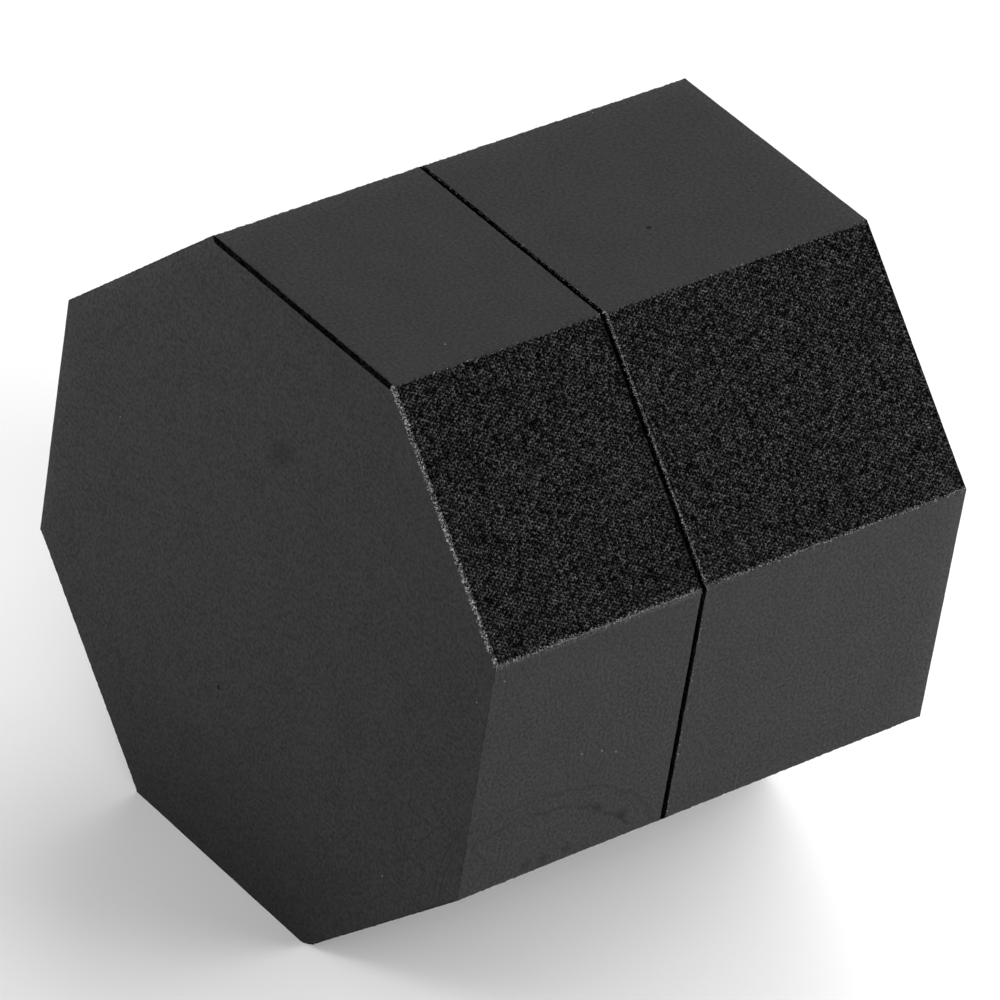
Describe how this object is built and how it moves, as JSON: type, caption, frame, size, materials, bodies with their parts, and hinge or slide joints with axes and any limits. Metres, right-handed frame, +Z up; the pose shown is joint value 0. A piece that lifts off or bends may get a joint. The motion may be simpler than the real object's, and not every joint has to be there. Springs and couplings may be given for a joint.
{
  "type": "floral foam brick",
  "caption": "Octagonal block of rigid black floral foam, cut across its length into loose slabs that hold flower stems.",
  "frame": {"origin": "middle of the underside, at the surface the block stands on", "axes": "+X across the flats to the right, +Y along the block from the thin slab's end to the thick slab's end, +Z up"},
  "size_m": [0.11, 0.0966, 0.11],
  "materials": {
    "front_foam": "charcoal phenolic foam, rubbed smooth faces and open-cell corner cuts",
    "rear_foam": "charcoal phenolic foam, rubbed smooth faces and open-cell corner cuts"
  },
  "bodies": {
    "rear": {"rear_slab": "rear_foam"},
    "front": {"front_slab": "front_foam"}
  },
  "joints": [
    {"name": "front_slab_pull", "type": "slide", "parent": "rear", "child": "front", "axis": [0, -1, 0], "range_m": [0, 0.06]}
  ]
}
